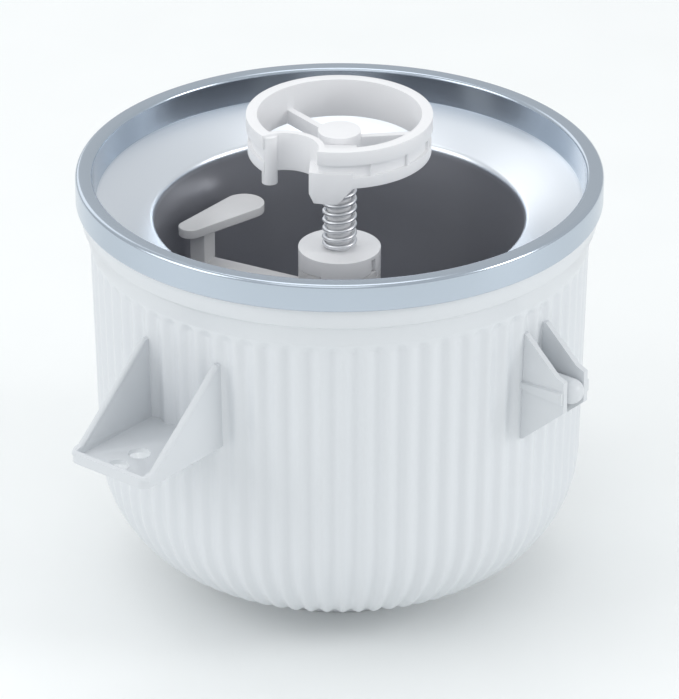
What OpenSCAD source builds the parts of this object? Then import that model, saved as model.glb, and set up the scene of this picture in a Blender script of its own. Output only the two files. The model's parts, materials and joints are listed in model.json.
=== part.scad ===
// Freeze-bowl ice cream maker for a stand mixer: insulated bowl, dasher and spring drive.
// Millimetres, +Z up, origin on the bowl axis at the flat bottom of the foot.

/* [Bowl] */
// Overall height of the bowl, foot to rim
bowl_h = 182; // [180:1:190]
// Outside radius of the rim ring
rim_r = 108; // [106:0.5:112]
// Height of the rim ring's outer band
rim_band = 10; // [8:0.5:12]
// Shell radius just under the rim ring
neck_r = 105.6; // [105:0.1:105.6]
// Shell radius at the top of the reeded wall
wall_top_r = 102.5; // [101:0.1:102.8]
// Shell radius where the wall meets the rounded bottom
wall_low_r = 100; // [99:0.1:101]
// Radius of the rounded bottom corner
corner_r = 50; // [48:1:52]
// Wall thickness of the moulded shell
shell_t = 2.6; // [2:0.1:3]

/* [Liner] */
// Liner radius at the rounded edge of the opening
opening_r = 75.9; // [74:0.1:77]
// Liner radius at the foot of its wall
liner_low_r = 71.5; // [70.5:0.1:72.5]
// Height of the cone floor on the axis
liner_floor = 19; // [18.6:0.1:19.4]
// Slope of the liner's floor in degrees
floor_slope = 12; // [10:0.5:13]
// Slope of the shoulder between the opening and the rim in degrees
shoulder_slope = 20; // [18:0.5:21]
// Sheet thickness of the liner
liner_t = 1.4; // [1:0.1:1.6]

/* [Foot] */
// Radius of the foot
foot_r = 46; // [42:0.5:48]
// Height of the foot
foot_h = 10; // [9:0.5:11]
// Number of base screws
screw_count = 3; // [3:1:4]

/* [Brackets] */
// Reach of a wing bracket from the bowl axis
wing_reach = 147; // [144:0.5:152]
// Width of a wing bracket
wing_w = 40; // [34:1:46]
// Height of a wing bracket's floor
wing_z = 101; // [96:1:108]
// Diameter of the locating holes in the wing brackets
wing_hole_d = 9; // [6:0.5:10]
// Width over the latch bracket's side plates
latch_w = 16; // [15:0.5:20]
// Diameter of the latch pin
latch_pin_d = 10.5; // [9:0.1:10.6]

/* [Dasher] */
// Half the width over the dasher's arms
dasher_half = 68; // [66:0.5:70.5]
// Angle of the dasher's frame about the bowl axis
dasher_turn = 101; // [0:1:180]
// Width of a dasher arm
arm_w = 6.8; // [5:0.1:8]
// Depth of the dasher's arms and bottom bar across the frame
arm_depth = 9; // [7:0.5:10]
// Depth of the dasher's crossbars across the frame
bar_depth = 7; // [5:0.5:7]
// Diameter of the dasher's centre post
post_d = 12; // [11:0.5:14]
// Height of the clutch's valley faces
clutch_z = 137; // [136.8:0.1:139]
// Diameter of the clutch and of the drive coupling
clutch_d = 34; // [32:0.5:38]
// Height of the ramp teeth
tooth_h = 3.2; // [2.5:0.1:4]

/* [Drive] */
// Height of the drive collar's lower face
collar_z = 190.8; // [190:0.1:193]
// Diameter over the drive collar's body
collar_d = 75; // [72:0.5:80]
// Height of the drive collar
collar_h = 16.4; // [14:0.1:18]
// Wall thickness of the drive collar
collar_t = 2.5; // [2:0.1:3.5]
// Direction of the beater bay about the axis
bay_turn = 185; // [170:1:200]
// Diameter of the drive shaft
shaft_d = 10; // [9:0.5:11]
// Outside diameter of the drive spring
spring_d = 15.6; // [14.6:0.1:16.4]
// Wire diameter of the drive spring
spring_wire = 1.4; // [1.2:0.1:1.6]

/* [Hidden] */
$fn = 96;
eps = 0.01;
gap = 0.3;
running_fit = 0.06;

// Shell profile levels
corner_c = [wall_low_r - corner_r, foot_h + corner_r];
reed_top_z = bowl_h - 29;
step_z = bowl_h - 20;
rim_under_z = bowl_h - rim_band;
rim_web = 1.6;
skirt_inner_r = neck_r + 0.2;
shell_top_z = bowl_h - rim_web;
shell_lip_r = neck_r - shell_t;
arc_steps = 14;

// Liner profile: a floor cone, a fillet, the tapered wall, a rounded edge and the shoulder
fillet_r = 14;
fillet_c = [liner_low_r - fillet_r, liner_floor + (liner_low_r - fillet_r) * tan(floor_slope)
    + fillet_r / cos(floor_slope)];
edge_r = 3;
edge_c = [opening_r + edge_r, bowl_h - 22.1];
flange_z = bowl_h - 11.6;
flange_r = rim_r - 6;
shoulder_end_r = 98.2;
// The wall is the straight tangent from the fillet to the rounded edge
wall_run = edge_c - fillet_c;
wall_lean = acos((fillet_r + edge_r) / norm(wall_run)) - atan2(wall_run[1], wall_run[0]);

// Jacket and insulation levels
jacket_t = 1.8;
jacket_arc = 44;
jacket_c = [47, 60];
jacket_flange_z = bowl_h - 17;
gel_top_z = bowl_h - 24;
foam_top_z = bowl_h - 26;
gasket_z = jacket_flange_z + 2;

// Socket and screws
socket_r = 8.5;
socket_z = jacket_c[1] - jacket_arc;
socket_top_z = liner_floor + socket_r * tan(floor_slope);
tip_z = 17.3;
tip_r = 6;
screw_ring_r = 30;
screw_r = 1.7;
screw_head_r = 3.4;
screw_head_z = 1.2;
screw_tip_z = socket_z - jacket_t - 0.8;
boss_top_z = socket_z - jacket_t - 0.2;
plug_r = 5;
plug_cap_r = 7;
plug_cap_z = foot_h + shell_t;

// Brackets
plate_t = 2.5;
wing_floor_t = 2;
wing_corner_r = 4;
wing_holes = [wing_reach - 20, wing_reach - 7];
latch_reach = 122;
latch_pin_z = bowl_h - 63;
root_r = 90;

// Dasher levels
vee_low_z = 24;
vee_rise = 12;
vee_t = 7.5;
dasher_low_r = 13;
low_bar_z = 75;
low_bar_t = 4;
top_bar_z = 122.5;
top_bar_t = 4.5;
pad_z = 142;
pad_t = 4;
pad_l = 45;
pad_w = 17;
pad_tip_w = 10;
pad_at = [60.2, -7.5];
pad_turn = 74;
pivot_pin_r = 3.5;
pivot_pin_top_z = 36;
paddle_l = 27;
paddle_in = 12;
paddle_t = 2.2;
neck_d = 29;
clutch_wide_z = clutch_z - 5.7;
clutch_foot_z = top_bar_z + top_bar_t;
well_r = 7.6;

// Drive levels
coupling_z = clutch_z + tooth_h + gap;
coupling_top_z = coupling_z + 6.8;
clip_z = clutch_z + 1;
clip_t = 1.2;
clip_r = 6.8;
shaft_low_z = clutch_z + 0.4;
clip_seat_z = clip_z + clip_t + gap;
hub_z = collar_z - 5.6;
washer_t = 1;
washer_r = 8.4;
spring_top_z = hub_z - washer_t;
hub_r = 8.8;
hub_top_z = collar_z + 9;
collar_r = collar_d / 2;
recess = 1.4;
lip_h = 6;
lip_over = 0.6;
flange_h = 4.6;
bay_r = 14;
bay_c = 40;
post_turn = 163;
post_drop = 5.5;
post_w = 6.5;
block_turn = 216;
block_drop = 7;
spoke_t = 3;
spoke_h = 6;
rib_count = 10;
rib_t = 1.8;

function arc(c, r, a0, a1, n = arc_steps) =
    [for (i = [0:n]) let (a = a0 + (a1 - a0) * i / n) c + r * [cos(a), sin(a)]];

// Outside of the shell from the foot up to the neck
function shell_outside() = concat(
    arc(corner_c, corner_r, -90, 0),
    [[wall_top_r, reed_top_z], [wall_top_r + 0.5, reed_top_z + 1], [wall_top_r + 0.9, step_z - 1.4],
     [neck_r - 0.2, step_z + 0.2], [neck_r, rim_under_z]]);

// Inside of the shell from its lip down to the bottom
function shell_inside() = concat(
    [[shell_lip_r, jacket_flange_z - 1], [wall_top_r - shell_t, reed_top_z]],
    arc(corner_c, corner_r - shell_t, 0, -90));

// A surface of the liner, offset outward from its inner face by t, from the floor up to the shoulder
function liner_face(t) = concat(
    arc(fillet_c, fillet_r + t, floor_slope - 90, -wall_lean),
    arc(edge_c, edge_r - t, 180 - wall_lean, 90 + shoulder_slope, 8),
    [edge_c + (edge_r - t) * [-sin(shoulder_slope), cos(shoulder_slope)]
     + (shoulder_end_r - edge_c[0]) / cos(shoulder_slope) * [cos(shoulder_slope), sin(shoulder_slope)]]);

// Height of the liner's floor at radius r, lowered by the sheet's thickness t
function floor_at(r, t) =
    fillet_c[1] - (fillet_r + t) * cos(floor_slope)
    - (fillet_c[0] + (fillet_r + t) * sin(floor_slope) - r) * tan(floor_slope);

function jacket_outside() = concat(
    arc(jacket_c, jacket_arc + jacket_t, -90, 0),
    [[jacket_c[0] + jacket_arc + jacket_t + 2.8, jacket_flange_z]]);

function jacket_inside() = concat(
    [[jacket_c[0] + jacket_arc + 2.8, jacket_flange_z + 2]],
    arc(jacket_c, jacket_arc, 0, -90));

function reversed(p) = [for (i = [len(p) - 1:-1:0]) p[i]];
function below(p, z) = [for (q = p) if (q[1] < z) q];

// Radius of the outside of a profile at height z, by straight interpolation on its last stretch
function jacket_in_at(z) =
    jacket_c[0] + jacket_arc + 2.8 * (z - jacket_c[1]) / (jacket_flange_z + 2 - jacket_c[1]);
function jacket_out_at(z) =
    jacket_c[0] + jacket_arc + jacket_t + 2.8 * (z - jacket_c[1]) / (jacket_flange_z - jacket_c[1]);
function liner_out_at(z) =
    fillet_c[0] + (fillet_r + liner_t) * cos(wall_lean)
    + (z - fillet_c[1] + (fillet_r + liner_t) * sin(wall_lean)) * tan(wall_lean);
function shell_in_at(z) =
    wall_top_r - shell_t + (shell_lip_r - wall_top_r + shell_t)
    * (z - reed_top_z) / (jacket_flange_z - 1 - reed_top_z);

module turned(points) {
    rotate_extrude() polygon(points);
}

module at_screws() {
    for (i = [0:screw_count - 1])
        rotate([0, 0, 360 / screw_count * i + 30]) translate([screw_ring_r, 0, 0]) children();
}

module at_plug() {
    rotate([0, 0, 90]) translate([screw_ring_r, 0, 0]) children();
}

// The solid that the shell's outside encloses, for trimming what sits on it
module shell_body() {
    turned(concat([[0, foot_h]], shell_outside(), [[0, rim_under_z]]));
}

module outer_shell() {
    color("#f4f6f8") difference() {
        union() {
            turned(concat([[0, foot_h]], shell_outside(),
                [[neck_r, shell_top_z], [shell_lip_r, shell_top_z]],
                shell_inside(), [[0, foot_h + shell_t]]));
            at_screws() translate([0, 0, foot_h + shell_t - 1])
                cylinder(h = boss_top_z - foot_h - shell_t + 1, r = 4.2);
        }
        at_screws() translate([0, 0, foot_h - 1])
            cylinder(h = screw_tip_z - foot_h + 1, r = screw_r);
    }
}

module base_foot() {
    color("#eef0f2") difference() {
        union() {
            turned([[0, 0], [foot_r - 1, 0], [foot_r, 1], [foot_r, foot_h],
                [foot_r - 3.5, foot_h], [foot_r - 3.5, 2.5], [0, 2.5]]);
            at_screws() cylinder(h = foot_h, r = 5.5);
        }
        at_screws() {
            translate([0, 0, -1]) cylinder(h = screw_head_z + 3, r = screw_head_r + 0.2);
            cylinder(h = foot_h + 1, r = screw_r + 0.3);
        }
    }
}

module base_screws() {
    color("#9aa0a6") at_screws() union() {
        translate([0, 0, screw_head_z]) cylinder(h = 2, r = screw_head_r);
        translate([0, 0, screw_head_z]) cylinder(h = screw_tip_z - screw_head_z, r = screw_r);
    }
}

module rim_ring() {
    color("#c3ccd6") turned(concat(
        [[skirt_inner_r, rim_under_z], [rim_r, rim_under_z]],
        arc([rim_r - 1.6, bowl_h - 1.6], 1.6, 0, 90, 6),
        arc([rim_r - 5.5, bowl_h - 1.5], 1.5, 90, 188, 6),
        [[rim_r - 8.4, flange_z], [rim_r - 7, flange_z], [rim_r - 5.6, shell_top_z],
         [skirt_inner_r, shell_top_z]]));
}

module rim_gasket() {
    color("#3a3d40") turned([[shoulder_end_r + 1, gasket_z], [flange_r + 0.4, gasket_z],
        [flange_r + 0.4, flange_z - liner_t], [shoulder_end_r + 1, flange_z - liner_t]]);
}

module inner_bowl() {
    color("#4c5563") turned(concat(
        [[socket_r, floor_at(socket_r, 0)]], liner_face(0),
        [[rim_r - 8.4, flange_z], [flange_r, flange_z], [flange_r, flange_z - liner_t],
         [shoulder_end_r + 0.6, flange_z - liner_t]],
        reversed(liner_face(liner_t)), [[socket_r, floor_at(socket_r, liner_t)]]));
}

module pivot_socket() {
    color("#dfe3e6") turned([[0, socket_z], [socket_r, socket_z], [socket_r, socket_top_z],
        [tip_r + 1, socket_top_z + 0.3], [tip_r + running_fit, socket_top_z - 0.6],
        [tip_r + running_fit, tip_z - gap], [0, tip_z - gap]]);
}

module freezing_gel() {
    color("#9fc6e8") difference() {
        turned(concat(
            [[socket_r, socket_z]], reversed(below(jacket_inside(), jacket_c[1] + eps)),
            [[jacket_in_at(gel_top_z), gel_top_z], [liner_out_at(gel_top_z), gel_top_z]],
            reversed(below(liner_face(liner_t), jacket_c[1])),
            [[socket_r, floor_at(socket_r, liner_t)]]));
        at_plug() cylinder(h = socket_z + 1.5, r = plug_r);
    }
}

module coolant_jacket() {
    color("#d7dbe0") difference() {
        turned(concat(
            [[0, socket_z - jacket_t]], jacket_outside(),
            [[flange_r + 0.6, jacket_flange_z], [flange_r + 0.6, jacket_flange_z + 2]],
            jacket_inside(), [[0, socket_z]]));
        at_plug() cylinder(h = socket_z + 1.5, r = plug_r);
    }
}

module fill_plug() {
    color("#5c6066") at_plug() union() {
        translate([0, 0, plug_cap_z]) cylinder(h = socket_z - jacket_t - plug_cap_z, r = plug_cap_r);
        translate([0, 0, plug_cap_z]) cylinder(h = socket_z + 1.5 - plug_cap_z, r = plug_r);
    }
}

module insulation() {
    color("#f2e8cf") difference() {
        turned(concat(
            [[0, foot_h + shell_t]], reversed(below(shell_inside(), corner_c[1] + eps)),
            [[wall_top_r - shell_t, reed_top_z], [shell_in_at(foam_top_z), foam_top_z],
             [jacket_out_at(foam_top_z), foam_top_z]],
            reversed(below(jacket_outside(), jacket_c[1] + eps)), [[0, socket_z - jacket_t]]));
        at_screws() translate([0, 0, foot_h]) cylinder(h = boss_top_z - foot_h, r = 4.2);
        at_plug() translate([0, 0, plug_cap_z]) cylinder(h = 4, r = plug_cap_r);
    }
}

// An upright plate in the XZ plane, centred on y
module side_plate(points, y, t) {
    translate([0, y + t / 2, 0]) rotate([90, 0, 0]) linear_extrude(t) polygon(points);
}

// Outline of a wing from above, with rounded outer corners
module wing_plan() {
    hull() {
        translate([root_r, -wing_w / 2]) square([1, wing_w]);
        for (s = [-1, 1])
            translate([wing_reach - wing_corner_r, s * (wing_w / 2 - wing_corner_r)])
                circle(r = wing_corner_r);
    }
}

// Wing bracket reaching along +X: an open-topped trough on two gussets
module wing_bracket() {
    gusset = [[root_r, wing_z], [wing_reach, wing_z], [wing_reach, wing_z + 4.5],
        [wing_reach - 6, wing_z + 5.5], [wall_top_r + 2, wing_z + 35], [wall_top_r, wing_z + 37.5],
        [root_r, wing_z + 37.5]];
    difference() {
        intersection() {
            union() {
                translate([root_r, -wing_w / 2, wing_z])
                    cube([wing_reach - root_r, wing_w, wing_floor_t]);
                translate([wing_reach - plate_t, -wing_w / 2, wing_z])
                    cube([plate_t, wing_w, 4.5]);
                for (s = [-1, 1])
                    side_plate(gusset, s * (wing_w - plate_t) / 2, plate_t);
            }
            translate([0, 0, wing_z - 1]) linear_extrude(40) wing_plan();
        }
        for (x = wing_holes)
            translate([x, 0, wing_z - 1]) cylinder(h = wing_floor_t + 2, d = wing_hole_d);
        shell_body();
    }
}

module left_bracket() {
    color("#eceff2") rotate([0, 0, 180]) wing_bracket();
}

module right_bracket() {
    color("#eceff2") wing_bracket();
}

module latch_bracket() {
    side = [[root_r, bowl_h - 87.5], [wall_low_r + 1.5, bowl_h - 87.5],
        [latch_reach, bowl_h - 69.5], [latch_reach, bowl_h - 56], [latch_reach - 4, bowl_h - 54.4],
        [wall_top_r + 1, bowl_h - 41], [wall_top_r, bowl_h - 40], [root_r, bowl_h - 40]];
    floor_strip = [[root_r, bowl_h - 87.5], [wall_low_r + 1.5, bowl_h - 87.5],
        [latch_reach - 8, bowl_h - 76.5], [latch_reach - 8, bowl_h - 74],
        [wall_low_r + 1.5, bowl_h - 85], [root_r, bowl_h - 85]];
    color("#eceff2") rotate([0, 0, -90]) difference() {
        union() {
            for (s = [-1, 1])
                side_plate(side, s * (latch_w - plate_t) / 2, plate_t);
            side_plate(floor_strip, 0, latch_w);
        }
        translate([root_r, 0, latch_pin_z]) rotate([0, 90, 0]) cylinder(h = 40, d = latch_pin_d);
        shell_body();
    }
}

module latch_pin() {
    color("#e3e7ea") rotate([0, 0, -90]) difference() {
        translate([0, 0, latch_pin_z]) union() {
            translate([root_r, 0, 0]) rotate([0, 90, 0])
                cylinder(h = latch_reach + 3 - latch_pin_d / 2 - root_r, d = latch_pin_d);
            translate([latch_reach + 3 - latch_pin_d / 2, 0, 0]) sphere(d = latch_pin_d);
        }
        shell_body();
    }
}

module pivot_foot() {
    color("#f6f7f8") union() {
        turned([[0, tip_z], [tip_r - 1.2, tip_z], [tip_r, tip_z + 1.2], [tip_r, vee_low_z - gap],
            [0, vee_low_z - gap]]);
        translate([0, 0, tip_z + 1]) cylinder(h = pivot_pin_top_z - tip_z - 1, r = pivot_pin_r);
    }
}

module in_dasher() {
    rotate([0, 0, dasher_turn]) children();
}

// The dasher's loop in its own plane: a shallow vee and two arms
module dasher_loop() {
    low = dasher_low_r;
    corner = [dasher_half - low, vee_low_z + vee_rise + low];
    inner = low - arm_w + 1;
    right = concat(
        [[0, vee_low_z]], arc(corner, low, -82, 0, 8),
        [[dasher_half, pad_z], [dasher_half - arm_w, pad_z]],
        arc([dasher_half - arm_w - inner, corner[1]], inner, 0, -80, 6),
        [[0, vee_low_z + vee_t]]);
    for (s = [0, 1]) mirror([s, 0]) polygon(right);
}

module crossbar(z, t) {
    translate([-dasher_half + arm_w / 2, -bar_depth / 2, z])
        cube([2 * dasher_half - arm_w, bar_depth, t]);
}

module dasher_frame() {
    color("#f6f7f8") in_dasher() difference() {
        union() {
            translate([0, arm_depth / 2, 0]) rotate([90, 0, 0]) linear_extrude(arm_depth)
                dasher_loop();
            crossbar(low_bar_z, low_bar_t);
            crossbar(top_bar_z, top_bar_t);
            translate([0, 0, vee_low_z]) cylinder(h = clutch_foot_z - vee_low_z, d = post_d);
        }
        translate([0, 0, vee_low_z - 1])
            cylinder(h = pivot_pin_top_z + gap - vee_low_z + 1, r = pivot_pin_r + running_fit);
    }
}

module pad(turn) {
    color("#f6f7f8") in_dasher() rotate([0, 0, turn]) translate([pad_at[0], pad_at[1], pad_z])
        rotate([0, 0, pad_turn]) linear_extrude(pad_t) hull() {
            translate([(pad_w - pad_l) / 2, 0]) circle(d = pad_w);
            translate([(pad_l - pad_tip_w) / 2, 0]) circle(d = pad_tip_w);
        }
}

module left_pad() {
    pad(0);
}

module right_pad() {
    pad(180);
}

module paddle(side, tall, lean) {
    color("#f6f7f8") in_dasher() difference() {
        translate([side * (paddle_in + paddle_l / 2), 0, low_bar_z + low_bar_t - 0.5])
            rotate([lean, 0, 0]) translate([-paddle_l / 2, -paddle_t / 2, 0])
            cube([paddle_l, paddle_t, tall]);
        translate([-dasher_half, -bar_depth, low_bar_z])
            cube([2 * dasher_half, 2 * bar_depth, low_bar_t]);
    }
}

module left_paddle() {
    paddle(-1, 11.5, 24);
}

module right_paddle() {
    paddle(1, 8, -24);
}

// Four ramp teeth on the plane z = 0, each climbing across its quadrant; spare widens them
module ramp_teeth(spare) {
    reach = clutch_d / 2 + 1;
    half = (reach + spare) / sqrt(2);
    for (i = [0:3]) rotate([0, 0, 90 * i]) intersection() {
        rotate([0, 0, 45]) translate([-1, 0, 0]) rotate([90, 0, 90]) linear_extrude(2 * reach)
            polygon([[-half - 3, -1], [half + 3, -1], [half + 3, tooth_h + spare + 3 * tooth_h / (2 * half)],
                [-half - 3, spare - 3 * tooth_h / (2 * half)]]);
        translate([-spare, 0, -1]) cube([reach, reach, tooth_h + 2]);
    }
}

module dasher_clutch() {
    color("#f6f7f8") in_dasher() difference() {
        union() {
            translate([0, 0, clutch_foot_z]) cylinder(h = clutch_z - clutch_foot_z, d = neck_d);
            translate([0, 0, clutch_wide_z]) cylinder(h = clutch_z - clutch_wide_z, d = clutch_d);
            intersection() {
                translate([0, 0, clutch_z]) ramp_teeth(0);
                translate([0, 0, clutch_z - 1]) cylinder(h = tooth_h + 1, d = clutch_d);
            }
        }
        translate([0, 0, clutch_foot_z - 1]) cylinder(h = clutch_z, r = well_r);
    }
}

module drive_coupling() {
    color("#f1f3f5") in_dasher() difference() {
        translate([0, 0, clutch_z + gap])
            cylinder(h = coupling_top_z - clutch_z - gap, d = clutch_d);
        translate([0, 0, clutch_z]) ramp_teeth(gap);
        translate([0, 0, clutch_z - 1]) cylinder(h = clip_seat_z - clutch_z + 1, r = well_r);
        translate([0, 0, clutch_z]) cylinder(h = 20, d = shaft_d + 2 * running_fit);
    }
}

module drive_spring() {
    color("#a4a9ae") difference() {
        translate([0, 0, coupling_top_z]) cylinder(h = spring_top_z - coupling_top_z, d = spring_d);
        translate([0, 0, coupling_top_z - 1])
            cylinder(h = spring_top_z - coupling_top_z + 2, d = spring_d - 2 * spring_wire);
    }
}

module drive_shaft() {
    color("#eef0f2") difference() {
        translate([0, 0, shaft_low_z]) cylinder(h = hub_top_z - 2 - shaft_low_z, d = shaft_d);
        translate([0, 0, clip_z]) difference() {
            cylinder(h = clip_t, d = shaft_d + 2);
            translate([0, 0, -1]) cylinder(h = clip_t + 2, r = shaft_d / 2 - 0.8);
        }
    }
}

module shaft_clip() {
    color("#8d9399") translate([0, 0, clip_z]) difference() {
        cylinder(h = clip_t, r = clip_r);
        translate([0, 0, -1]) cylinder(h = clip_t + 2, r = shaft_d / 2 - 0.8);
        translate([0, -1.5, -1]) cube([clip_r + 1, 3, clip_t + 2]);
    }
}

module spring_washer() {
    color("#a4a9ae") translate([0, 0, spring_top_z]) difference() {
        cylinder(h = washer_t, r = washer_r);
        translate([0, 0, -1]) cylinder(h = washer_t + 2, d = shaft_d + 0.2);
    }
}

// Collar plan: a disc of radius r with the beater bay bitten out of it
module collar_plan(r, bite) {
    difference() {
        circle(r = r);
        rotate(bay_turn) translate([bay_c, 0]) circle(r = bite);
    }
}

// A band of the collar's wall, proud of the recessed wall by out
module collar_band(out) {
    difference() {
        collar_plan(collar_r - recess + out, bay_r);
        collar_plan(collar_r - recess - collar_t, bay_r + collar_t);
    }
}

module drive_collar() {
    block = [[-10.5, 6.4], [-10.5, -3], [-8.5, -block_drop], [1, -block_drop], [7.5, 0], [7.5, 6.4]];
    color("#f1f3f5") translate([0, 0, collar_z]) difference() {
        union() {
            linear_extrude(collar_h) collar_band(0);
            linear_extrude(flange_h) collar_band(recess);
            translate([0, 0, collar_h - lip_h]) linear_extrude(lip_h)
                collar_band(recess + lip_over);
            for (i = [0:rib_count - 1])
                rotate([0, 0, bay_turn + 55 + 250 / (rib_count - 1) * i])
                translate([collar_r - 2 * recess, -rib_t / 2, flange_h / 2])
                cube([2 * recess - 0.3, rib_t, collar_h - flange_h]);
            for (a = [block_turn, block_turn + 100, block_turn + 220])
                rotate([0, 0, a]) translate([0, -spoke_t / 2, 0])
                cube([collar_r - 1, spoke_t, spoke_h]);
            intersection() {
                rotate([0, 0, block_turn]) translate([9, 0, 0]) rotate([90, 0, 90])
                    linear_extrude(collar_r) polygon(block);
                translate([0, 0, -10]) cylinder(h = 30, r = collar_r);
            }
            rotate([0, 0, post_turn]) translate([collar_r - 3.4, 0, -post_drop]) {
                cylinder(h = post_drop + collar_h - 1, d = post_w);
            }
            translate([0, 0, hub_z - collar_z])
                cylinder(h = collar_z - hub_z, r1 = washer_r, r2 = hub_r + 1);
            cylinder(h = hub_top_z - collar_z, r = hub_r);
        }
        translate([0, 0, -10]) cylinder(h = hub_top_z - 2 - collar_z + 10, d = shaft_d);
    }
}

outer_shell();
base_foot();
base_screws();
rim_ring();
rim_gasket();
inner_bowl();
pivot_socket();
freezing_gel();
coolant_jacket();
fill_plug();
insulation();
left_bracket();
right_bracket();
latch_bracket();
latch_pin();
pivot_foot();
dasher_frame();
left_pad();
right_pad();
left_paddle();
right_paddle();
dasher_clutch();
drive_coupling();
drive_spring();
drive_shaft();
shaft_clip();
spring_washer();
drive_collar();
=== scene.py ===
import json
import math
from math import cos, pi, radians, sin

import bmesh
import bpy
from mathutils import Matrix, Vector


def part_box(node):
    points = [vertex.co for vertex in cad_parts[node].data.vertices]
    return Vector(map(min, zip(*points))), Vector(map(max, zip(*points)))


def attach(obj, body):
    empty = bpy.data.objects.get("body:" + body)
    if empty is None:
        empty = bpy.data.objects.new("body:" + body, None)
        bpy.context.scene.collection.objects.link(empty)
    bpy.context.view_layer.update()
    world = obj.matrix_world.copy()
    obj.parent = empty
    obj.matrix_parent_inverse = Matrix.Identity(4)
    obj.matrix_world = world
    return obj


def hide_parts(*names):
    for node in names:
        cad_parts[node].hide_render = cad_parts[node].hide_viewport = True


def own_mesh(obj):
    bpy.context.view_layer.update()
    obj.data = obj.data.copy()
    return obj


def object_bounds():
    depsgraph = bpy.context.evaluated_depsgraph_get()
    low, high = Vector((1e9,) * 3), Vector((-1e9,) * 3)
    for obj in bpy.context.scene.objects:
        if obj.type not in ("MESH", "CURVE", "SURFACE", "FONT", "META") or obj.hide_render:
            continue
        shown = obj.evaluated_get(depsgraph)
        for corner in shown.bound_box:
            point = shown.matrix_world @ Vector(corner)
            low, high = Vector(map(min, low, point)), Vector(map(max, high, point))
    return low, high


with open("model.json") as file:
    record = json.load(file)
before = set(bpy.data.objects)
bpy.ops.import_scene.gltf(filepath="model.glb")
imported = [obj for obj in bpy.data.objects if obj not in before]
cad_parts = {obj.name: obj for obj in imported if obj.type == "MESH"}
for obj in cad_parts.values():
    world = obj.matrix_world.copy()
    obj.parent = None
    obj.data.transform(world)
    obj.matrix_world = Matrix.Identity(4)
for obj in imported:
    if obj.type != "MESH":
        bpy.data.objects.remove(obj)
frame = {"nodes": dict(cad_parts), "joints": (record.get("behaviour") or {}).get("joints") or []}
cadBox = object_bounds()
mm = 0.001

# Angles in degrees, lengths in metres; frameHeight is what the view takes in at the bowl's axis
cameraSettings = {"toward": 219.0, "elevation": 26.8, "distance": 2.44, "frameHeight": 0.29,
                  "aimDrop": 0.004, "sensor": 36, "farthest": 20}


def makeCamera(s):
    low, high = cadBox
    aim = Vector((0, 0, (low.z + high.z) / 2 - s["aimDrop"]))
    turn, tilt = radians(s["toward"]), radians(s["elevation"])
    away = Vector((cos(tilt) * cos(turn), cos(tilt) * sin(turn), sin(tilt)))
    data = bpy.data.cameras.new("viewCamera")
    data.sensor_width = s["sensor"]
    data.lens = s["sensor"] * s["distance"] / s["frameHeight"]
    data.clip_end = s["farthest"]
    camera = bpy.data.objects.new("viewCamera", data)
    camera.location = aim + away * s["distance"]
    camera.rotation_euler = (-away).to_track_quat("-Z", "Y").to_euler()
    bpy.context.scene.collection.objects.link(camera)
    bpy.context.scene.camera = camera


makeCamera(cameraSettings)
print("camera placed")


# A shader socket that takes arithmetic
class Wire:
    def __init__(self, tree, socket=None):
        self.tree, self.socket = tree, socket

    def node(self, kind, settings, sockets, out=0):
        made = self.tree.nodes.new(kind)
        for key, value in settings.items():
            setattr(made, key, value)
        for key, value in sockets.items():
            if isinstance(value, Wire):
                self.tree.links.new(value.socket, made.inputs[key])
            else:
                made.inputs[key].default_value = value
        return Wire(self.tree, made.outputs[out])

    def sum(self, operation, first, second):
        return self.node("ShaderNodeMath", {"operation": operation}, {0: first, 1: second})

    def __add__(self, other): return self.sum("ADD", self, other)
    def __radd__(self, other): return self.sum("ADD", other, self)
    def __sub__(self, other): return self.sum("SUBTRACT", self, other)
    def __rsub__(self, other): return self.sum("SUBTRACT", other, self)
    def __mul__(self, other): return self.sum("MULTIPLY", self, other)
    def __rmul__(self, other): return self.sum("MULTIPLY", other, self)
    def __pow__(self, other): return self.sum("POWER", self, other)
    def __rpow__(self, other): return self.sum("POWER", other, self)

    def noise(self, scale, detail=2.0):
        return self.node("ShaderNodeTexNoise", {},
                         {"Vector": self, "Scale": scale, "Detail": detail}, "Fac")

    def blendColours(self, first, second):
        return self.node("ShaderNodeMix", {"data_type": "RGBA"}, {0: self, 6: first, 7: second}, 2)

    def rise(self, start, end):
        return self.node("ShaderNodeMapRange", {"interpolation_type": "SMOOTHSTEP"},
                         {"Value": self, "From Min": start, "From Max": end})


def rgba(colour, gain=1.0):
    return tuple(min(1.0, c * gain) for c in colour) + (1.0,)


def startFinish(name):
    material = bpy.data.materials.new(name)
    material.use_nodes = True
    tree = material.node_tree
    shader = tree.nodes["Principled BSDF"]
    point = Wire(tree).node("ShaderNodeTexCoord", {}, {}, "Object")
    return material, tree, shader, point


def setShader(tree, shader, values):
    for key, value in values.items():
        if isinstance(value, Wire):
            tree.links.new(value.socket, shader.inputs[key])
        else:
            shader.inputs[key].default_value = value


def raised(height, strength, distance):
    return height.node("ShaderNodeBump", {}, {"Height": height, "Strength": strength,
                                              "Distance": distance}, "Normal")


# Distance from the bowl's axis, and height, as one plane to draw turned lines on
def turnedPlane(point):
    split = point.node("ShaderNodeSeparateXYZ", {}, {0: point}, 0).socket.node
    x, y, z = (Wire(point.tree, split.outputs[i]) for i in range(3))
    radius = (x * x + y * y) ** 0.5
    return z, point.node("ShaderNodeCombineXYZ", {}, {0: radius, 1: z, 2: 0.0})


# Scales are noise cells to a metre; grain is the strength of the moulded skin
plasticSettings = {"cloudScale": 20, "skinScale": 260, "scuffScale": 90, "darker": 0.972,
                   "cloudRough": 0.05, "scuffRough": 0.03, "grain": 0.12, "relief": 0.04 * mm,
                   "ior": 1.49}


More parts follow.
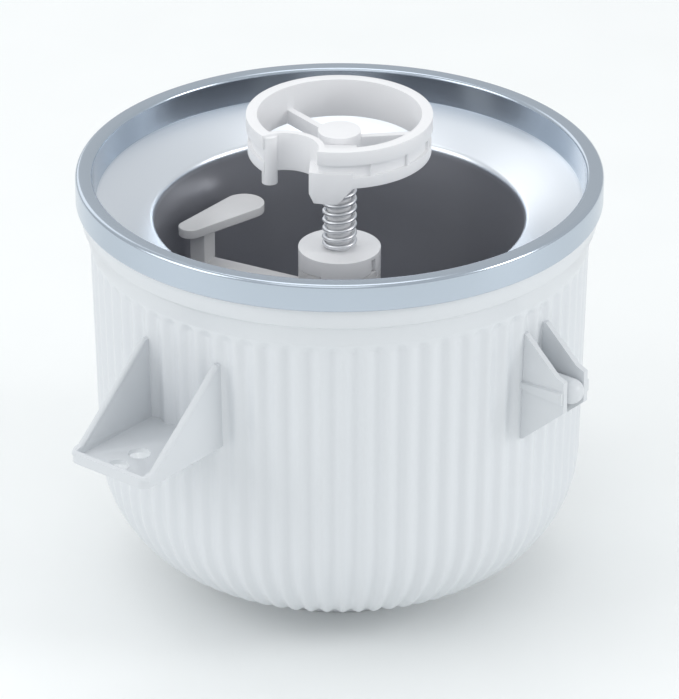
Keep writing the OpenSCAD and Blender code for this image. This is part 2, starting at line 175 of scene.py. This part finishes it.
# Roughness stays clear of 0.27 all over: a gloss finish that crosses it renders with faint lines
def mouldedPlastic(name, colour, rough, grain=plasticSettings["grain"]):
    s = plasticSettings
    material, tree, shader, point = startFinish(name)
    cloud = point.noise(s["cloudScale"], 1)
    skin = point.noise(s["skinScale"], 1)
    scuff = point.noise(s["scuffScale"], 2).rise(0.5, 0.85)
    setShader(tree, shader, {
        "Base Color": cloud.blendColours(rgba(colour, s["darker"]), rgba(colour)),
        "Roughness": rough + (cloud - 0.5) * s["cloudRough"] + scuff * s["scuffRough"],
        "Normal": raised(skin, grain, s["relief"]),
        "IOR": s["ior"]})
    return material


metalSettings = {"spinScale": 2400, "spinRough": 0.14, "spinLines": 0.12, "cloudScale": 22,
                 "cloudRough": 0.05, "cloudDark": 0.94, "streakScale": 900, "streakRough": 0.2,
                 "streakLines": 0.08, "streakDark": 0.88, "relief": 0.05 * mm}


def spunMetal(name, colour, rough):
    s = metalSettings
    material, tree, shader, point = startFinish(name)
    turning = turnedPlane(point)[1].noise(s["spinScale"], 3)
    cloud = point.noise(s["cloudScale"], 3)
    setShader(tree, shader, {
        "Base Color": cloud.blendColours(rgba(colour, s["cloudDark"]), rgba(colour)),
        "Metallic": 1.0,
        "Roughness": (rough + (turning - 0.5) * s["spinRough"]
                      + (cloud - 0.5) * s["cloudRough"]),
        "Normal": raised(turning, s["spinLines"], s["relief"])})
    return material


# Painted shade darkens the satin inside of the bowl, and a painted reflection brightens the
# rounded edge and the shoulder
def satinLiner(name, edgeHeight, s):
    material, tree, shader, point = startFinish(name)
    height, plane = turnedPlane(point)
    turning = plane.noise(s["spinScale"], 3)
    cloud = point.noise(s["cloudScale"], 3)
    shoulder = height.rise(edgeHeight - s["fadeBelow"], edgeHeight + s["fadeAbove"])
    # the inside colour, darkened as painted shade, with a random cloud over it
    paintedShadeInside = cloud.blendColours(rgba(s["paintedShadeInside"], s["cloudDark"]), rgba(s["paintedShadeInside"], s["cloudLight"]))
    setShader(tree, shader, {
        # above the rounded edge the painted reflection colour takes over
        "Base Color": shoulder.blendColours(paintedShadeInside, rgba(s["bright"])),
        "Metallic": s["darkMetal"] + shoulder * (1 - s["darkMetal"]),
        "Roughness": (s["darkRough"] - shoulder * s["polish"]
                      + (turning - 0.5) * s["spinRough"]),
        "Normal": raised(turning, s["spinLines"], metalSettings["relief"])})
    return material


def drawnSteel(name, colour, rough):
    s = metalSettings
    material, tree, shader, point = startFinish(name)
    streak = point.noise(s["streakScale"], 4)
    setShader(tree, shader, {
        "Base Color": streak.blendColours(rgba(colour, s["streakDark"]), rgba(colour)),
        "Metallic": 1.0,
        "Roughness": rough + (streak - 0.5) * s["streakRough"],
        "Normal": raised(streak, s["streakLines"], s["relief"])})
    return material


softSettings = {"cloudScale": 50, "cellShare": 0.6, "cloudShare": 0.4, "darker": 0.85,
                "cloudRough": 0.1, "relief": 0.4 * mm}


# Rubber, gel and foam: cells to a metre, and how strongly they stand out
def softMatter(name, colour, rough, cell, depth):
    s = softSettings
    material, tree, shader, point = startFinish(name)
    cells = point.node("ShaderNodeTexVoronoi", {}, {"Vector": point, "Scale": cell}, "Distance")
    cloud = point.noise(s["cloudScale"], 3)
    mottle = cells * s["cellShare"] + cloud * s["cloudShare"]
    setShader(tree, shader, {
        "Base Color": mottle.blendColours(rgba(colour, s["darker"]), rgba(colour)),
        "Roughness": rough + (cloud - 0.5) * s["cloudRough"],
        "Normal": raised(cells, depth, s["relief"])})
    return material


# The inside colour is darkened as painted shade; the shoulder colour is a painted reflection
linerFinish = {"paintedShadeInside": (0.5, 0.51, 0.55), "bright": (0.86, 0.9, 0.95), "darkMetal": 0.8,
               "darkRough": 0.35, "polish": 0.03, "spinScale": 1800, "spinLines": 0.1,
               "spinRough": 0.1, "cloudScale": 16, "cloudDark": 0.9, "cloudLight": 1.08,
               "fadeBelow": 2 * mm, "fadeAbove": 1.5 * mm, "edgeDrop": 22.1 * mm}
rimLow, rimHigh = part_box("rim_ring")
shellWhite = mouldedPlastic("shellWhite", (0.745, 0.77, 0.795), 0.31)
footWhite = mouldedPlastic("footWhite", (0.76, 0.78, 0.805), 0.38)
bracketWhite = mouldedPlastic("bracketWhite", (0.70, 0.725, 0.75), 0.34)
dasherWhite = mouldedPlastic("dasherWhite", (0.69, 0.69, 0.695), 0.31)
# The drive parts are a whiter plastic, raised further as painted light for the coupling sitting in
# the bowl's shade
driveWhitePaintedLight = mouldedPlastic("driveWhitePaintedLight", (0.9, 0.902, 0.915), 0.31)
socketWhite = mouldedPlastic("socketWhite", (0.78, 0.8, 0.82), 0.35)
jacketGrey = mouldedPlastic("jacketGrey", (0.68, 0.7, 0.73), 0.5)
rimMetal = spunMetal("rimMetal", (0.53, 0.595, 0.67), 0.2)
linerMetal = satinLiner("linerMetal", rimHigh.z - linerFinish["edgeDrop"], linerFinish)
springSteel = drawnSteel("springSteel", (0.86, 0.87, 0.89), 0.4)
screwSteel = drawnSteel("screwSteel", (0.55, 0.57, 0.6), 0.34)
sealRubber = softMatter("sealRubber", (0.04, 0.04, 0.045), 0.75, 3000, 0.1)
plugRubber = softMatter("plugRubber", (0.09, 0.09, 0.1), 0.7, 3000, 0.1)
coolantBlue = softMatter("coolantBlue", (0.42, 0.62, 0.84), 0.45, 120, 0.15)
foamCream = softMatter("foamCream", (0.86, 0.79, 0.63), 0.95, 900, 0.6)
print("finishes made")


def keepPiece(name, bm, material, smoothBelow=38):
    bmesh.ops.recalc_face_normals(bm, faces=bm.faces)
    mesh = bpy.data.meshes.new(name)
    bm.to_mesh(mesh)
    bm.free()
    piece = bpy.data.objects.new(name, mesh)
    bpy.context.scene.collection.objects.link(piece)
    shadePiece(piece, material, smoothBelow)
    return piece


def shadePiece(piece, material, smoothBelow):
    piece.data.polygons.foreach_set("use_smooth", [True] * len(piece.data.polygons))
    piece.data.set_sharp_from_angle(angle=radians(smoothBelow))
    piece.data.materials.clear()
    piece.data.materials.append(material)


# Joins doubled points and drops faces with no area
def cleanUp(bm):
    bmesh.ops.remove_doubles(bm, verts=bm.verts, dist=2e-6)
    bmesh.ops.dissolve_degenerate(bm, dist=1e-6, edges=bm.edges)


def settle(piece, material, smoothBelow):
    graph = bpy.context.evaluated_depsgraph_get()
    final = bpy.data.meshes.new_from_object(piece.evaluated_get(graph))
    # a bevel can leave such faces where it meets itself
    bm = bmesh.new()
    bm.from_mesh(final)
    cleanUp(bm)
    bm.to_mesh(final)
    bm.free()
    piece.modifiers.clear()
    piece.data = final
    shadePiece(piece, material, smoothBelow)


edgeSettings = {"steps": 3, "sharper": 28, "smoothBelow": 50}


def softenEdges(piece, material, width, s):
    bevel = piece.modifiers.new("softEdge", "BEVEL")
    bevel.width = width
    bevel.segments = s["steps"]
    bevel.limit_method = "ANGLE"
    bevel.angle_limit = radians(s["sharper"])
    bevel.miter_outer = "MITER_ARC"
    settle(piece, material, s["smoothBelow"])


def placePiece(piece, body, slot, *nodes):
    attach(piece, body)
    if nodes:
        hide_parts(*nodes)


def curveAround(centre, radius, first, last, steps):
    return [(centre[0] + radius * cos(radians(first + (last - first) * i / steps)),
             centre[1] + radius * sin(radians(first + (last - first) * i / steps)))
            for i in range(steps + 1)]


turnedColumns = 256


# Turns rows of (radius, height) round the axis; shift moves a point of a row at an angle
def turnRows(rows, columns, shift=None, closed=False):
    bm = bmesh.new()
    rings = []
    for index, (r, z) in enumerate(rows):
        if r < 1e-7:
            rings.append([bm.verts.new((0, 0, z))])
            continue
        ring = []
        for c in range(columns):
            a = 2 * pi * c / columns
            out, up = shift(index, a) if shift else (0, 0)
            ring.append(bm.verts.new(((r + out) * cos(a), (r + out) * sin(a), z + up)))
        rings.append(ring)
    pairs = list(zip(rings, rings[1:]))
    if closed:
        pairs.append((rings[-1], rings[0]))
    for low, high in pairs:
        for c in range(columns):
            d = (c + 1) % columns
            if len(low) == 1:
                bm.faces.new((low[0], high[c], high[d]))
            elif len(high) == 1:
                bm.faces.new((low[c], high[0], low[d]))
            else:
                bm.faces.new((low[c], low[d], high[d], high[c]))
    return bm


# Adds a round tube along a path, closed at both ends
def tubeAlong(bm, path, radius, around=12):
    path = [Vector(p) for p in path]
    ways = [(path[min(i + 1, len(path) - 1)] - path[max(i - 1, 0)]).normalized()
            for i in range(len(path))]
    side = ways[0].orthogonal().normalized()
    rings = []
    for point, way in zip(path, ways):
        side = (side - way * side.dot(way)).normalized()
        other = way.cross(side)
        rings.append([bm.verts.new(point + (side * cos(2 * pi * k / around)
                                            + other * sin(2 * pi * k / around)) * radius)
                      for k in range(around)])
    for one, two in zip(rings, rings[1:]):
        for k in range(around):
            n = (k + 1) % around
            bm.faces.new((one[k], one[n], two[n], two[k]))
    bm.faces.new(rings[0][::-1])
    bm.faces.new(rings[-1])


def roundedPath(path, rounds=3):
    for _ in range(rounds):
        cut = [path[0]]
        for a, b in zip(path, path[1:]):
            a, b = Vector(a), Vector(b)
            cut += [a.lerp(b, 0.25), a.lerp(b, 0.75)]
        path = cut + [path[-1]]
    return path


def addTube(piece, path, radius, material):
    bm = bmesh.new()
    bm.from_mesh(piece.data)
    tubeAlong(bm, roundedPath(path), radius)
    bmesh.ops.recalc_face_normals(bm, faces=bm.faces)
    bm.to_mesh(piece.data)
    bm.free()
    shadePiece(piece, material, edgeSettings["smoothBelow"])


# A new mesh with the outline of a CAD node, its flat faces joined up again
def meshOf(node):
    source = frame["nodes"][node].data
    bm = bmesh.new()
    points = [bm.verts.new(v.co) for v in source.vertices]
    for polygon in source.polygons:
        try:
            bm.faces.new([points[i] for i in polygon.vertices])
        except ValueError:
            pass
    cleanUp(bm)
    bmesh.ops.recalc_face_normals(bm, faces=bm.faces)
    bmesh.ops.dissolve_limit(bm, angle_limit=radians(0.4), verts=bm.verts, edges=bm.edges)
    return bm


# A CAD node's piece with softened edges; change reshapes its mesh, cut makes a cutter for it
def softCopy(name, node, body, slot, material, width, change=None, cut=None):
    bm = meshOf(node)
    if change:
        change(bm)
    piece = keepPiece(name, bm, material)
    if cut:
        tool = keepPiece(name + "Cut", cut(), material)
        notch = piece.modifiers.new("notch", "BOOLEAN")
        notch.object = tool
        notch.solver = "EXACT"
        settle(piece, material, edgeSettings["smoothBelow"])
        bpy.data.objects.remove(tool)
    softenEdges(piece, material, width, edgeSettings)
    placePiece(piece, body, slot, node)
    return piece


# Drops are measured down from the rim; the flutes fade in between two radii under the bowl
shellSettings = {"flutes": 72, "perFlute": 12, "depth": 1.4 * mm, "wallLow": 100 * mm,
                 "wallTop": 102.5 * mm, "corner": 50 * mm, "wall": 2.6 * mm, "reedDrop": 29 * mm,
                 "stepDrop": 20 * mm, "fadeFrom": 45 * mm, "fadeTo": 56 * mm,
                 "archHeight": 9 * mm, "archRows": 22, "wallRows": 6, "cornerRows": 44,
                 "stepFoot": ((0.9 * mm, -1.6 * mm), (1.2 * mm, -1.2 * mm)),
                 "stepTop": ((-0.4 * mm, -0.1 * mm), (-0.1 * mm, 0.4 * mm))}
shellLow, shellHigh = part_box("outer_shell")
topZ, rimR = rimHigh.z, rimHigh.x
neckR = shellHigh.x


def shellRows(s):
    reedZ, stepZ = topZ - s["reedDrop"], topZ - s["stepDrop"]
    centre = (s["wallLow"] - s["corner"], shellLow.z + s["corner"])
    rows = curveAround(centre, s["corner"], -90, 0, s["cornerRows"])
    facing = [((r - centre[0]) / s["corner"], (z - centre[1]) / s["corner"]) for r, z in rows]
    archZ = reedZ - s["archHeight"]
    heights = [centre[1] + (archZ - centre[1]) * i / s["wallRows"]
               for i in range(1, s["wallRows"] + 1)]
    heights += [archZ + s["archHeight"] * i / s["archRows"] for i in range(1, s["archRows"] + 1)]
    for z in heights:
        share = (z - centre[1]) / (reedZ - centre[1])
        rows.append((s["wallLow"] + (s["wallTop"] - s["wallLow"]) * share, z))
    # a small step out to the smooth neck, each point out from the wall or the neck
    rows.append((s["wallTop"] + 0.5 * mm, reedZ + mm))
    rows += [(s["wallTop"] + out, stepZ + up) for out, up in s["stepFoot"]]
    rows += [(neckR + out, stepZ + up) for out, up in s["stepTop"]]
    rows += [(neckR, rimLow.z), (neckR, shellHigh.z)]
    facing += [(1, 0)] * (len(rows) - len(facing))
    outside = len(rows)
    rows += [(neckR - s["wall"], shellHigh.z), (s["wallTop"] - s["wall"], reedZ)]
    rows += curveAround(centre, s["corner"] - s["wall"], 0, -90, 12)
    rows += [(0, shellLow.z + s["wall"])]
    return [(0, shellLow.z)] + rows, [(0, -1)] + facing, outside + 1


# Each flute is a groove that ends at the top in a round arch
def makeShell(s):
    rows, facing, outside = shellRows(s)
    reedZ = topZ - s["reedDrop"]
    halfPitch = pi * s["wallTop"] / s["flutes"]

    def flute(index, angle):
        if index >= outside:
            return 0, 0
        r, z = rows[index]
        across = abs((angle * s["flutes"] / (2 * pi)) % 1 * 2 - 1)
        beyond = max(0, z - (reedZ - halfPitch)) / halfPitch
        reach = min(1, math.hypot(across, beyond))
        fade = min(1, max(0, (r - s["fadeFrom"]) / (s["fadeTo"] - s["fadeFrom"])))
        sink = s["depth"] * fade * cos(pi * reach / 2) ** 2
        return -facing[index][0] * sink, -facing[index][1] * sink

    bm = turnRows(rows, s["flutes"] * s["perFlute"], flute)
    piece = keepPiece("flutedShell", bm, shellWhite, 44)
    placePiece(piece, "bowl", "shell_white", "outer_shell")


def shellRadiusAt(z):
    for (r0, z0), (r1, z1) in zip(shellOutside, shellOutside[1:]):
        if z0 <= z <= z1 and z1 > z0:
            return r0 + (r1 - r0) * (z - z0) / (z1 - z0)
    return shellOutside[-1][0]


shellPoints, _, outsideCount = shellRows(shellSettings)
shellOutside = shellPoints[1:outsideCount]
makeShell(shellSettings)
print("shell made")


rimSettings = {"outerRound": 1.6 * mm, "innerRound": 1.5 * mm, "lipWidth": 7 * mm,
               "sheet": 1.4 * mm, "innerFoot": 8.4 * mm, "drop": 11.6 * mm, "hem": 0.4 * mm,
               "clear": 0.2 * mm}


# An outer band, a rounded lip and a wall that leans in to the liner's flange
def makeRim(s):
    wide, inner, sheet = s["outerRound"], s["innerRound"], s["sheet"]
    rows = [(neckR + s["clear"], rimLow.z), (rimR - s["hem"], rimLow.z),
            (rimR, rimLow.z + s["hem"])]
    rows += curveAround((rimR - wide, topZ - wide), wide, 0, 90, 8)
    rows += curveAround((rimR - s["lipWidth"] + inner, topZ - inner), inner, 90, 188, 8)
    rows += [(rimR - s["innerFoot"], topZ - s["drop"]),
             (rimR - s["innerFoot"] + sheet, topZ - s["drop"]),
             (rimR - s["lipWidth"] + sheet, topZ - wide), (neckR + s["clear"], topZ - wide)]
    piece = keepPiece("spunRim", turnRows(rows, turnedColumns, closed=True), rimMetal, 36)
    placePiece(piece, "bowl", "rim_metal", "rim_ring")


linerSettings = {"lowRadius": 71.5 * mm, "opening": 75.9 * mm, "floor": 19 * mm, "slope": 12,
                 "fillet": 14 * mm, "edge": 3 * mm, "shoulder": 20, "flange": 6 * mm,
                 "bend": 0.6 * mm, "shoulderEnd": 98.2 * mm, "sheet": 1.4 * mm,
                 "hole": 8.5 * mm}


def makeLiner(s):
    fillet = Vector((s["lowRadius"] - s["fillet"], 0))
    fillet.y = (s["floor"] + fillet.x * math.tan(radians(s["slope"]))
                + s["fillet"] / cos(radians(s["slope"])))
    edge = Vector((s["opening"] + s["edge"], topZ - linerFinish["edgeDrop"]))
    run = edge - fillet
    lean = math.degrees(math.acos((s["fillet"] + s["edge"]) / run.length)
                        - math.atan2(run.y, run.x))
    slope, fall = radians(s["slope"]), radians(s["shoulder"])
    flangeZ, flangeR = topZ - rimSettings["drop"], rimR - s["flange"]

    def face(t):
        rows = curveAround(fillet, s["fillet"] + t, s["slope"] - 90, -lean, 18)
        rows += curveAround(edge, s["edge"] - t, 180 - lean, 90 + s["shoulder"], 12)
        r, z = rows[-1]
        reach = s["shoulderEnd"] - r
        start = rows[0]
        inner = (s["hole"], start[1] - (start[0] - s["hole"]) * math.tan(slope))
        return [inner] + rows + [(s["shoulderEnd"], z + reach * math.tan(fall))]

    rows = face(0) + [(rimR - rimSettings["innerFoot"], flangeZ), (flangeR, flangeZ),
                      (flangeR, flangeZ - s["sheet"]),
                      (s["shoulderEnd"] + s["bend"], flangeZ - s["sheet"])]
    rows += face(s["sheet"])[::-1]
    piece = keepPiece("satinLiner", turnRows(rows, turnedColumns, closed=True), linerMetal, 36)
    placePiece(piece, "bowl", "liner_metal", "inner_bowl")


makeRim(rimSettings)
makeLiner(linerSettings)
print("rim and liner made")


# The roots reach into the flutes, so no gap shows between bracket and shell
def sinkRoots(bm):
    for v in bm.verts:
        r = math.hypot(v.co.x, v.co.y)
        if r < shellRadiusAt(v.co.z) + bracketSettings["rootBand"]:
            v.co.x *= (r - bracketSettings["rootSunk"]) / r
            v.co.y *= (r - bracketSettings["rootSunk"]) / r


bracketSettings = {"soft": 0.7 * mm, "bead": 1.4 * mm, "plate": 2.5 * mm, "inset": 1.0 * mm,
                   "lip": 4.5 * mm, "corner": 4 * mm, "ribStart": 1.8 * mm, "ribEnd": 3.6 * mm,
                   "ribProud": 1.2 * mm, "ribTaper": 0.7, "ribRoot": 99 * mm,
                   "ribBack": 0.3 * mm, "rootBand": 0.4 * mm, "rootSunk": 2.2 * mm,
                   "beadRoot": 45.5 * mm, "rootDrop": 0.5 * mm, "beadBend": 42.5 * mm,
                   "bendDrop": 3 * mm, "slopeEnd": 9.5 * mm, "slopeFoot": 8 * mm,
                   "lipRise": 0.6 * mm}


# One rounded bead runs down a gusset's sloping edge, round the end lip and up the other gusset
def wingBead(node, side, s):
    low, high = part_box(node)
    reach, width = max(abs(low.x), abs(high.x)), high.y - s["plate"] / 2
    lipZ, out = low.z + s["lip"] - s["inset"], reach - s["bead"]
    half = [(reach - s["beadRoot"], width, high.z - s["rootDrop"]),
            (reach - s["beadBend"], width, high.z - s["bendDrop"]),
            (reach - s["slopeEnd"], width, low.z + s["slopeFoot"] - s["inset"]),
            (out - s["corner"], width, lipZ + s["lipRise"]), (out, width, lipZ),
            (out, width - s["corner"], lipZ)]
    other = [(x, -y, z) for x, y, z in half[::-1]]
    return [(side * x, y, z) for x, y, z in half + other]


for name, node, side in (("leftWing", "left_bracket", -1), ("rightWing", "right_bracket", 1)):
    wing = softCopy(name, node, "bowl", "bracket_white", bracketWhite, bracketSettings["soft"],
                    sinkRoots)
    addTube(wing, wingBead(node, side, bracketSettings), bracketSettings["bead"], bracketWhite)

pegLow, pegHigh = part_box("latch_pin")


# Each latch plate has a rib over the peg that widens towards the front
def latchShape(bm):
    s = bracketSettings
    sinkRoots(bm)
    low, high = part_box("latch_bracket")
    middle = (pegLow.z + pegHigh.z) / 2
    for side, face in ((-1, low.x), (1, high.x)):
        corners = [bm.verts.new((face + side * out, y, middle + up))
                   for y, half in ((-s["ribRoot"], s["ribStart"]),
                                   (low.y + s["ribBack"], s["ribEnd"]))
                   for out, up in ((-mm, -half), (s["ribProud"], -half * s["ribTaper"]),
                                   (s["ribProud"], half * s["ribTaper"]), (-mm, half))]
        for i in range(4):
            j = (i + 1) % 4
            bm.faces.new((corners[i], corners[j], corners[j + 4], corners[i + 4]))
        bm.faces.new(corners[:4][::-1])
        bm.faces.new(corners[4:])


screwSettings = {"head": 3.4 * mm, "firstTurn": 30, "count": 3, "arm": 2.2 * mm, "half": 0.5 * mm,
                 "sunk": 1.1 * mm, "below": 0.5 * mm}


# Plain cross recesses for the three screw heads, as one cutter
def screwCrosses():
    s = screwSettings
    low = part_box("base_screws")[0]
    ring, a, h = -low.y - s["head"], s["arm"], s["half"]
    outline = [(a, h), (h, h), (h, a), (-h, a), (-h, h), (-a, h),
               (-a, -h), (-h, -h), (-h, -a), (h, -a), (h, -h), (a, -h)]
    bm = bmesh.new()
    for i in range(s["count"]):
        turn = radians(s["firstTurn"] + 360 * i / s["count"])
        x, y = ring * cos(turn), ring * sin(turn)
        bottom, top = ([bm.verts.new((x + u, y + v, z)) for u, v in outline]
                       for z in (low.z - s["below"], low.z + s["sunk"]))
        bm.faces.new(bottom[::-1])
        bm.faces.new(top)
        for j in range(len(outline)):
            k = (j + 1) % len(outline)
            bm.faces.new((bottom[j], bottom[k], top[k], top[j]))
    return bm


softCopy("latchPlates", "latch_bracket", "bowl", "bracket_white", bracketWhite, 0.5 * mm,
         latchShape)
softCopy("latchPeg", "latch_pin", "bowl", "bracket_white", bracketWhite, 0.3 * mm, sinkRoots)
softCopy("footRing", "base_foot", "bowl", "foot_white", footWhite, 0.5 * mm)
softCopy("footScrews", "base_screws", "bowl", "screw_steel", screwSteel, 0.2 * mm,
         cut=screwCrosses)
print("brackets and foot made")


padSettings = {"border": 1.6 * mm, "sunk": 0.5 * mm}


def sinkPadTop(bm):
    top = max(v.co.z for v in bm.verts)
    flat = [f for f in bm.faces if f.normal.z > 0.99 and f.calc_center_median().z > top - 1e-5]
    bmesh.ops.inset_region(bm, faces=flat, thickness=padSettings["border"])
    for v in {v for f in flat for v in f.verts}:
        v.co.z -= padSettings["sunk"]


softCopy("dasherLoop", "dasher_frame", "dasher", "dasher_white", dasherWhite, 0.9 * mm)
for side in ("left", "right"):
    softCopy(side + "ScraperPad", side + "_pad", "dasher", "dasher_white", dasherWhite,
             0.35 * mm, sinkPadTop)
    softCopy(side + "MixingPaddle", side + "_paddle", "dasher", "dasher_white", dasherWhite,
             0.5 * mm)
softCopy("dasherPoint", "pivot_foot", "dasher_pivot", "dasher_white", dasherWhite, 0.4 * mm)
softCopy("dasherTeeth", "dasher_clutch", "dasher", "dasher_white", dasherWhite, 0.4 * mm)
print("dasher made")

couplingSettings = {"notchTurn": 274, "notchWidth": 3.0 * mm, "notchDepth": 1.5 * mm,
                    "notchTop": 1.6 * mm, "notchHeight": 12 * mm, "beyond": 2 * mm}
couplingLow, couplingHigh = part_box("drive_coupling")


def couplingNotch():
    s = couplingSettings
    radius = (couplingHigh.x - couplingLow.x) / 2
    turn = radians(s["notchTurn"])
    out, side = Vector((cos(turn), sin(turn), 0)), Vector((-sin(turn), cos(turn), 0))
    bm = bmesh.new()
    top = couplingHigh.z - s["notchTop"]
    corners = [bm.verts.new(out * r + side * w + Vector((0, 0, z)))
               for z in (top - s["notchHeight"], top)
               for r, w in ((radius - s["notchDepth"], -s["notchWidth"] / 2),
                            (radius + s["beyond"], -s["notchWidth"] / 2),
                            (radius + s["beyond"], s["notchWidth"] / 2),
                            (radius - s["notchDepth"], s["notchWidth"] / 2))]
    for face in ((3, 2, 1, 0), (4, 5, 6, 7), (0, 1, 5, 4), (1, 2, 6, 5), (2, 3, 7, 6),
                 (3, 0, 4, 7)):
        bm.faces.new([corners[i] for i in face])
    return bm


softCopy("sprungCoupling", "drive_coupling", "coupling", "drive_white", driveWhitePaintedLight, 0.7 * mm,
         cut=couplingNotch)
softCopy("headCollar", "drive_collar", "drive", "drive_white", driveWhitePaintedLight, 0.4 * mm)
softCopy("driveRod", "drive_shaft", "drive", "drive_white", driveWhitePaintedLight, 0.3 * mm)
softCopy("rodClip", "shaft_clip", "drive", "screw_steel", screwSteel, 0.15 * mm)
softCopy("springSeat", "spring_washer", "drive", "spring_steel", springSteel, 0.15 * mm)

springSettings = {"wire": 2 * mm, "turns": 10, "endTurns": 0.85, "perTurn": 48,
                  "slimmer": 0.6 * mm}


def makeSpring(s):
    low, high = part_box("drive_spring")
    travel = next(j for j in frame["joints"] if j["name"] == "spring_travel")["range_m"][1]
    coil = (high.x - low.x) / 2 - s["slimmer"] - s["wire"] / 2
    bottom, top = low.z + s["wire"] / 2, high.z - s["wire"] / 2
    count = int(s["turns"] * s["perTurn"])
    closing = s["endTurns"] / s["turns"]
    flat = s["wire"] * s["endTurns"]
    path = []
    for i in range(count + 1):
        share = i / count
        # the end turns lie nearly flat on their neighbours
        if share < closing:
            rise = flat * share / closing
        elif share > 1 - closing:
            rise = top - bottom - flat * (1 - share) / closing
        else:
            rise = flat + (top - bottom - 2 * flat) * (share - closing) / (1 - 2 * closing)
        turn = 2 * pi * s["turns"] * share
        path.append((coil * cos(turn), coil * sin(turn), bottom + rise))
    bm = bmesh.new()
    tubeAlong(bm, path, s["wire"] / 2)
    piece = keepPiece("driveSpringCoil", bm, springSteel, 60)
    placePiece(piece, "coupling", "spring_steel", "drive_spring")
    1 - travel / (high.z - low.z)
    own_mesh(piece)


makeSpring(springSettings)
print("drive made")

# These stay inside the bowl and keep their CAD shape
insideFinishes = {"rim_gasket": sealRubber, "pivot_socket": socketWhite,
                  "freezing_gel": coolantBlue, "coolant_jacket": jacketGrey,
                  "fill_plug": plugRubber, "insulation": foamCream}
for node, finish in insideFinishes.items():
    for place in frame["nodes"][node].material_slots:
        place.material = finish
print("inside finished")

floorSettings = {"half": 6.0, "colour": (0.95, 0.965, 0.96), "rough": 0.6, "grain": 0.01,
                 "gap": 0.2 * mm}


def makeFloor(s):
    bm = bmesh.new()
    z = cadBox[0].z - s["gap"]
    corners = [bm.verts.new((x * s["half"], y * s["half"], z))
               for x, y in ((-1, -1), (1, -1), (1, 1), (-1, 1))]
    bm.faces.new(corners)
    paint = mouldedPlastic("floorPaint", s["colour"], s["rough"], s["grain"])
    keepPiece("paleFloor", bm, paint)


# Place, size in metres and power in watts
lightSettings = {"keyLight": ((0.9, -1.9, 1.1), 0.8, 12),
                 "frontLight": ((-1.4, -0.8, 1.7), 1.4, 3.8),
                 "topLight": ((0.2, 0.3, 2.3), 1.4, 7.5),
                 "leftLight": ((-1.7, 1.0, 1.2), 1.4, 11),
                 "backLight": ((0.6, 1.7, 1.1), 1.2, 3.2)}
skySettings = {"colour": (0.955, 0.98, 1.0, 1), "strength": 0.69}
lightsAim = Vector((0, 0, 0.1))


def makeLights(lights, air):
    for name, (place, size, power) in lights.items():
        data = bpy.data.lights.new(name, "AREA")
        data.size = size
        data.energy = power
        light = bpy.data.objects.new(name, data)
        light.location = place
        light.rotation_euler = (lightsAim - Vector(place)).to_track_quat("-Z", "Y").to_euler()
        bpy.context.scene.collection.objects.link(light)
    world = bpy.data.worlds.new("studio")
    world.use_nodes = True
    sky = world.node_tree.nodes["Background"]
    sky.inputs["Color"].default_value = air["colour"]
    sky.inputs["Strength"].default_value = air["strength"]
    bpy.context.scene.world = world
    bpy.context.scene.view_settings.view_transform = "Standard"


makeFloor(floorSettings)
makeLights(lightSettings, skySettings)
print("floor and light made")
